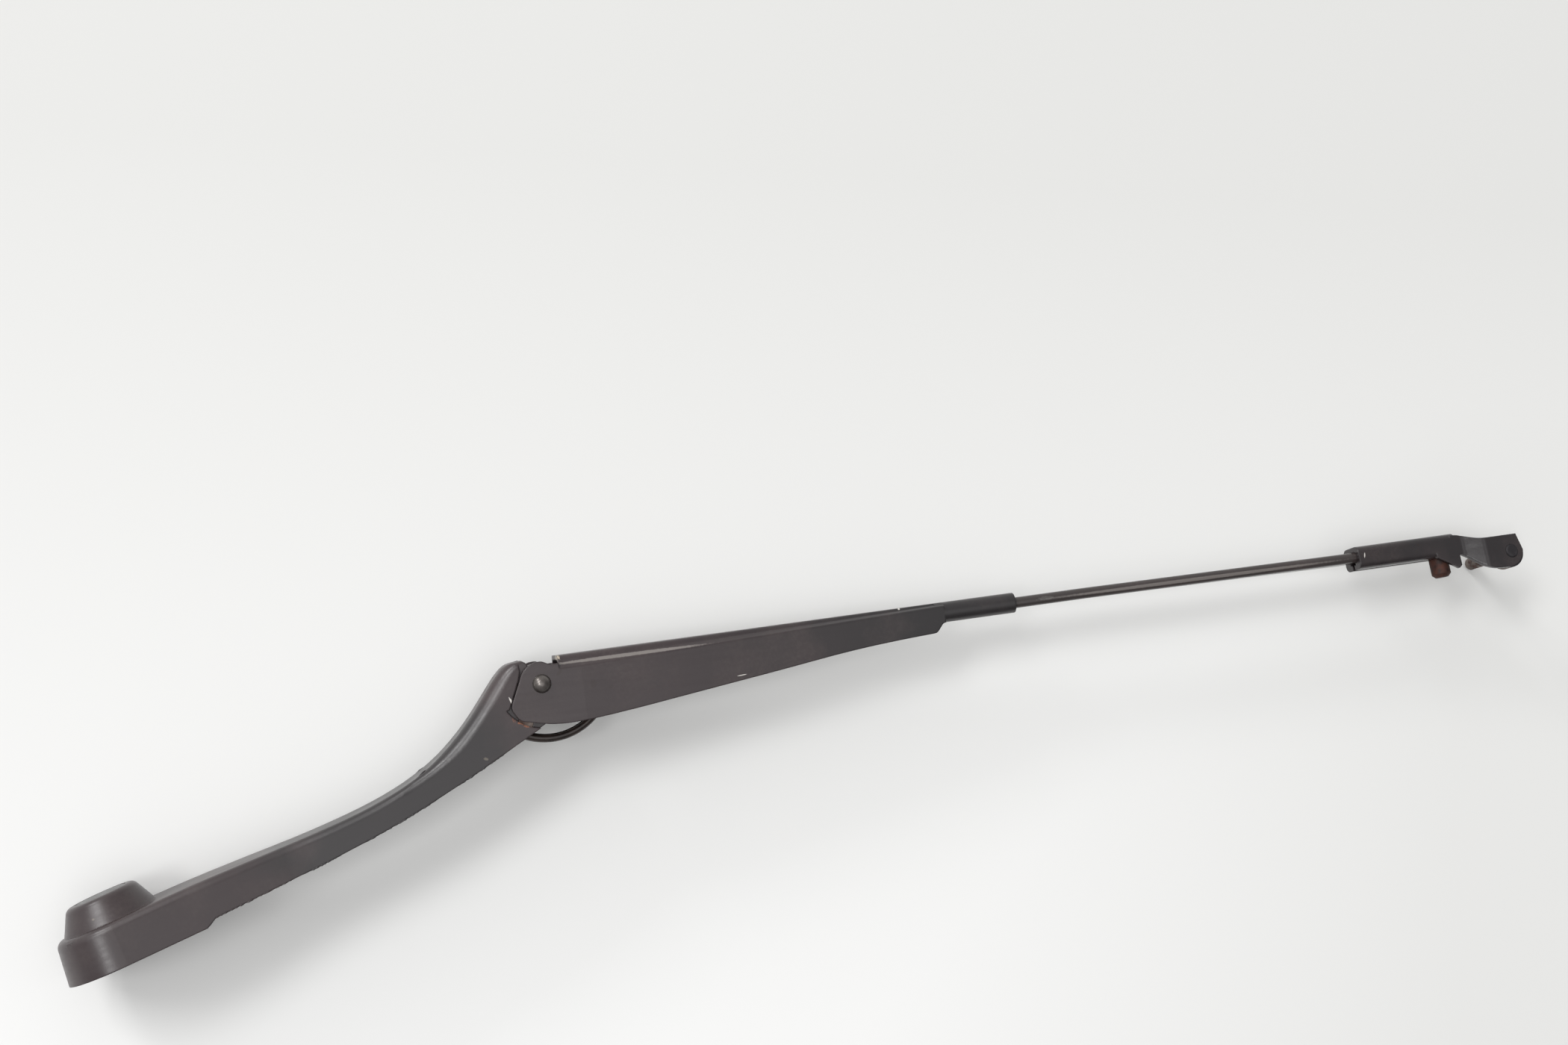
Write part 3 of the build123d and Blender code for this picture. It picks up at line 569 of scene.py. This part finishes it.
def show(name, data):
    """Object for a mesh, a lamp or the camera, in the scene and at the origin."""
    shown = bpy.data.objects.new(name, data)
    bpy.context.scene.collection.objects.link(shown)
    return shown


def grow(name, tree, sizes, mesh=None):
    """Mesh that a Geometry Nodes tree makes from named sizes, and from a mesh where it starts from one."""
    maker = show(name, mesh or bpy.data.meshes.new(name))
    modifier = maker.modifiers.new(name, "NODES")
    modifier.node_group = tree
    for item in tree.interface.items_tree:
        if item.in_out == "INPUT" and item.name in sizes:
            modifier[item.identifier] = sizes[item.name]
    depsgraph = bpy.context.evaluated_depsgraph_get()
    grown = bpy.data.meshes.new_from_object(maker.evaluated_get(depsgraph))
    maker.modifiers.remove(modifier)
    bpy.data.objects.remove(maker)
    grown.polygons.foreach_set("use_smooth", [True] * len(grown.polygons))
    return grown


def start_tree(name, sizes, takes_mesh=False):
    """Empty tree with a named input for each size. Returns its graph, its inputs and its output socket."""
    tree = bpy.data.node_groups.new(name, "GeometryNodeTree")
    if takes_mesh:
        tree.interface.new_socket("Mesh", in_out="INPUT", socket_type="NodeSocketGeometry")
    for size in sizes:
        tree.interface.new_socket(size, in_out="INPUT", socket_type="NodeSocketFloat")
    tree.interface.new_socket("Piece", in_out="OUTPUT", socket_type="NodeSocketGeometry")
    given = tree.nodes.new("NodeGroupInput")
    inputs = {socket.name: Field(tree, socket) for socket in given.outputs if socket.name}
    return Field(tree), inputs, tree.nodes.new("NodeGroupOutput").inputs[0]


def end_tree(graph, out, path, section, material, scale=1.0):
    """Close a tree with a wire of a section along a path, and a material. Returns the tree."""
    inputs = {"Curve": path, "Profile Curve": section, "Scale": scale, "Fill Caps": True}
    piece = graph.node("GeometryNodeCurveToMesh", inputs=inputs)
    piece = graph.node("GeometryNodeRealizeInstances", inputs={0: piece})
    piece = graph.node("GeometryNodeSetMaterial", inputs={"Geometry": piece, "Material": material})
    graph.plug(out, piece)
    return graph.tree


def round_section(graph, sides, radius):
    return graph.node("GeometryNodeCurvePrimitiveCircle", inputs={"Resolution": sides, "Radius": radius})


def spring_tree(sizes, material):
    """Tree for the spring: one wire with a squared loop, the coil, and a loop a quarter turn on."""
    graph, size, out = start_tree("spring_wire", sizes)
    coil_points = TURN_POINTS * math.ceil(COIL_TURNS)
    line = graph.node("GeometryNodeMeshLine", inputs={"Count": 2 * LOOP_POINTS + coil_points})
    path = graph.node("GeometryNodeMeshToCurve", inputs={0: line})
    index = graph.node("GeometryNodeInputIndex")
    in_first = index < LOOP_POINTS
    in_last = index > LOOP_POINTS + coil_points - 1

    def point(along, near, up):
        """Place from distances along the pull line and across it."""
        return graph.node("ShaderNodeCombineXYZ", inputs={0: along, 1: near, 2: up})

    def loop_side(sweep):
        """Offset across the pull line and reach beyond the coil, at an angle round a squared loop."""
        bow = graph.maths("COSINE", sweep)
        across = graph.maths("SIGN", bow) * graph.maths("ABSOLUTE", bow) ** LOOP_SQUARENESS
        beyond = graph.maths("ABSOLUTE", graph.maths("SINE", sweep)) ** LOOP_SQUARENESS
        return size["Coil radius"] * across, size["Loop length"] * beyond

    share = (index - LOOP_POINTS).ramp(0, coil_points - 1)
    angle = share * size["Turns"] * (2 * math.pi)
    coil = point(
        size["Coil start"] + share * (size["Coil end"] - size["Coil start"]),
        size["Coil radius"] * graph.maths("COSINE", angle),
        size["Coil radius"] * graph.maths("SINE", angle),
    )
    step = LOOP_SWEEP / (LOOP_POINTS - 1)
    first_across, first_beyond = loop_side((LOOP_POINTS - 1 - index) * step)
    last_across, last_beyond = loop_side((index - LOOP_POINTS - coil_points) * step)
    first = point(size["Coil start"] - first_beyond, first_across, 0.0)
    last = point(size["Coil end"] + last_beyond, 0.0, last_across)
    place = in_first.mix(coil, first, "VECTOR")
    place = in_last.mix(place, last, "VECTOR")
    path = graph.node("GeometryNodeSetPosition", inputs={"Geometry": path, "Position": place})
    here = graph.node("GeometryNodeInputPosition")
    settings = {"data_type": "FLOAT_VECTOR"}
    eased = graph.node("GeometryNodeBlurAttribute", settings, {"Value": here, "Iterations": EASE_PASSES})
    path = graph.node("GeometryNodeSetPosition", inputs={"Geometry": path, "Position": eased})
    return end_tree(graph, out, path, round_section(graph, WIRE_SIDES, size["Wire radius"]), material)


def make_spring(material):
    """Tension spring from the hook's eye to the rod's eye, stretching between them."""
    sizes = {
        "Wire radius": WIRE_RADIUS,
        "Coil radius": COIL_RADIUS,
        "Turns": COIL_TURNS,
        "Coil start": COIL_START,
        "Coil end": COIL_END,
        "Loop length": LOOP_LENGTH,
    }
    mesh = grow("spring_wire", spring_tree(sizes, material), sizes)
    pin = Vector(joint("hook_swing")["pos_m"])
    pull = Vector(joint("spring_stretch")["axis"]).normalized()
    lean = Matrix.Rotation(math.atan2(-pull.z, pull.x), 4, "Y")
    mesh.transform(Matrix.Translation(pin) @ lean)
    spring = show("tension_spring_wire", mesh)
    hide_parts("tension_spring")
    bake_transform(spring)


def flash_tree(sizes, material):
    """Tree for the casting flash: a ragged bead on broken stretches of a mesh's lower outer rim."""
    graph, size, out = start_tree("rim_flash", sizes, takes_mesh=True)
    inputs = {"Geometry": size["Mesh"], "Distance": WELD_DISTANCE}
    body = graph.node("GeometryNodeMergeByDistance", inputs=inputs)
    fold = graph.node("GeometryNodeInputMeshEdgeAngle")
    normal = graph.node("GeometryNodeInputNormal", output="True Normal")
    settings = {"data_type": "FLOAT_VECTOR", "domain": "FACE"}
    facing = graph.node("GeometryNodeFieldOnDomain", settings, {0: normal})
    here = graph.node("GeometryNodeInputPosition")

    def noise(patch):
        return graph.node("ShaderNodeTexNoise", inputs={"Vector": here, "Scale": 1 / patch, "Detail": 2.0})

    outward = facing.part("Y") * graph.maths("SIGN", here.part("Y"))
    rim = (fold > RIM_FOLD) * (facing.part("Z") < RIM_DOWN) * (outward > RIM_OUT)
    along = (here.part("X") > size["From"]) * (here.part("X") < size["To"])
    kept = rim * along * (noise(FLASH_STRETCH) > size["Share"])
    path = graph.node("GeometryNodeMeshToCurve", inputs={"Mesh": body, "Selection": kept > 0.5})
    settings = {"mode": "LENGTH"}
    path = graph.node("GeometryNodeResampleCurve", settings, {"Curve": path, "Length": FLASH_STEP})
    share = graph.node("GeometryNodeSplineParameter")
    taper = (share * (1 - share) * 4) ** 0.5
    thick = size["Radius"] * taper * noise(FLASH_LUMP).ramp(*FLASH_LUMP_LEVELS, FLASH_THIN, 1.0)
    return end_tree(graph, out, path, round_section(graph, FLASH_SIDES, 1.0), material, thick)


def make_flash(material):
    """Thin ragged flash that the head's mould has left on its lower rim."""
    sizes = {"Radius": FLASH_RADIUS, "From": FLASH_FROM, "To": FLASH_TO, "Share": FLASH_SHARE}
    head = frame["nodes"]["arm_head"].data.copy()
    flash = show("rim_flash", grow("rim_flash", flash_tree(sizes, material), sizes, head))
    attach(flash, "head")


def square_to(normal, direction):
    """Unit vector square to a normal, as near as can be to a direction."""
    direction = Vector(direction)
    return (direction - normal * direction.dot(normal)).normalized()


def table_height():
    """Lowest point of the arm along the table's normal."""
    solids = (solid.data.vertices for solid in frame["nodes"].values())
    return min(TABLE_UP.dot(vertex.co) for vertices in solids for vertex in vertices)


def table_axes():
    """Two directions in the table's plane: to the right of the picture, and to its top."""
    right = square_to(TABLE_UP, CAMERA_RIGHT)
    return right, TABLE_UP.cross(right)


def make_table():
    """Pale table top, darkened a little by painted shade to the top and right of the picture, and seen from
    above only.
    """
    right, top = table_axes()
    middle = ARM_MIDDLE - TABLE_UP * (ARM_MIDDLE.dot(TABLE_UP) - table_height())
    half = TABLE_SIZE / 2
    signs = ((-1, -1), (1, -1), (1, 1), (-1, 1))
    mesh = bpy.data.meshes.new("table")
    corners = [middle + right * (half * a) + top * (half * b) for a, b in signs]
    mesh.from_pydata(corners, [], [(0, 1, 2, 3)])
    finish = Finish("table")
    up, across = (finish.place.dot(axis) - middle.dot(axis) for axis in (top, right))
    graph = finish.graph
    # Painted shade towards the top and right of the picture
    shade = across.ramp(*TABLE_RIGHT_RUN) * TABLE_RIGHT_SHARE
    shade = graph.maths("MAXIMUM", up.ramp(*TABLE_UP_RUN), shade)
    colour = shade.mix(TABLE_NEAR, TABLE_PAINTED_SHADE)
    finish.set(Base_Color=colour, Roughness=TABLE_ROUGHNESS, Specular_IOR_Level=0.0)
    solid = Field(graph.tree, finish.shader.outputs[0])
    clear = graph.node("ShaderNodeBsdfTransparent")
    behind = graph.node("ShaderNodeNewGeometry", output="Backfacing")
    sheet = graph.node("ShaderNodeMixShader", inputs={0: behind, 1: solid, 2: clear})
    graph.plug(graph.tree.nodes["Material Output"].inputs["Surface"], sheet)
    mesh.materials.append(finish.material)
    show("table", mesh)


def make_world():
    """Soft dome with a panel overhead, brighter to the picture's left and top, and pale below the table."""
    world = bpy.data.worlds.new("studio")
    world.use_nodes = True
    bpy.context.scene.world = world
    graph = Field(world.node_tree)
    towards = graph.node("ShaderNodeTexCoord", output="Generated")
    right, top = (towards.dot(axis) for axis in table_axes())
    dome = (1 - right * DOME_LEFT + top * DOME_TOP) * DOME_LEVEL
    dome = dome + towards.dot(PANEL_TOWARDS).ramp(*PANEL_EDGE) * PANEL_LEVEL
    below = towards.dot(TABLE_UP).ramp(HORIZON, -HORIZON)
    level = dome * (1 - below) + below * BACKGROUND_LEVEL
    grey = graph.node("ShaderNodeCombineColor", inputs={0: level, 1: level, 2: level})
    graph.plug(world.node_tree.nodes["Background"].inputs["Color"], grey)


def turned(right, up, back):
    """Turn of a lamp or camera, from where its right, its top and its back point."""
    return Matrix((right, up, back)).transposed().to_4x4()


def soft_box(name, azimuth, elevation, width, height, level):
    """Area lamp facing the arm. Level is the brightness of its face.

    Azimuth is round the table's normal, as the picture shows it: 0 is its bottom, 90 its right and 180
    its top.
    """
    right, top = table_axes()
    turn = math.radians(azimuth)
    rise = math.radians(elevation)
    flat = right * math.sin(turn) - top * math.cos(turn)
    towards = flat * math.cos(rise) + TABLE_UP * math.sin(rise)
    side = TABLE_UP.cross(towards).normalized()
    lamp = bpy.data.lights.new(name, "AREA")
    lamp.shape = "RECTANGLE"
    lamp.size = width
    lamp.size_y = height
    lamp.energy = level * math.pi * width * height
    stand = Matrix.Translation(ARM_MIDDLE + towards * BOX_DISTANCE)
    show(name, lamp).matrix_world = stand @ turned(side, towards.cross(side), towards)


def make_lights():
    soft_box("key_box", azimuth=-126, elevation=45, width=2.40, height=1.10, level=10.8)
    soft_box("high_box", azimuth=-82, elevation=59, width=1.40, height=0.90, level=10.0)
    soft_box("low_box", azimuth=-137, elevation=18, width=1.25, height=0.62, level=22.0)


def make_camera():
    forward = Vector(CAMERA_FORWARD).normalized()
    right = square_to(forward, CAMERA_RIGHT)
    camera = bpy.data.cameras.new("photograph")
    camera.sensor_width = SENSOR_WIDTH
    camera.lens = SENSOR_WIDTH * FOCAL_PIXELS / IMAGE_WIDTH
    camera.clip_start = CAMERA_CLIP
    seen = show("photograph", camera)
    seen.matrix_world = Matrix.Translation(CAMERA_PLACE) @ turned(right, right.cross(forward), -forward)
    bpy.context.scene.camera = seen


materials = finishes()
dress_nodes(materials)
make_spring(materials["spring"])
make_flash(materials["head_paint"])
make_table()
make_world()
make_lights()
make_camera()
bpy.context.scene.view_settings.view_transform = "Standard"
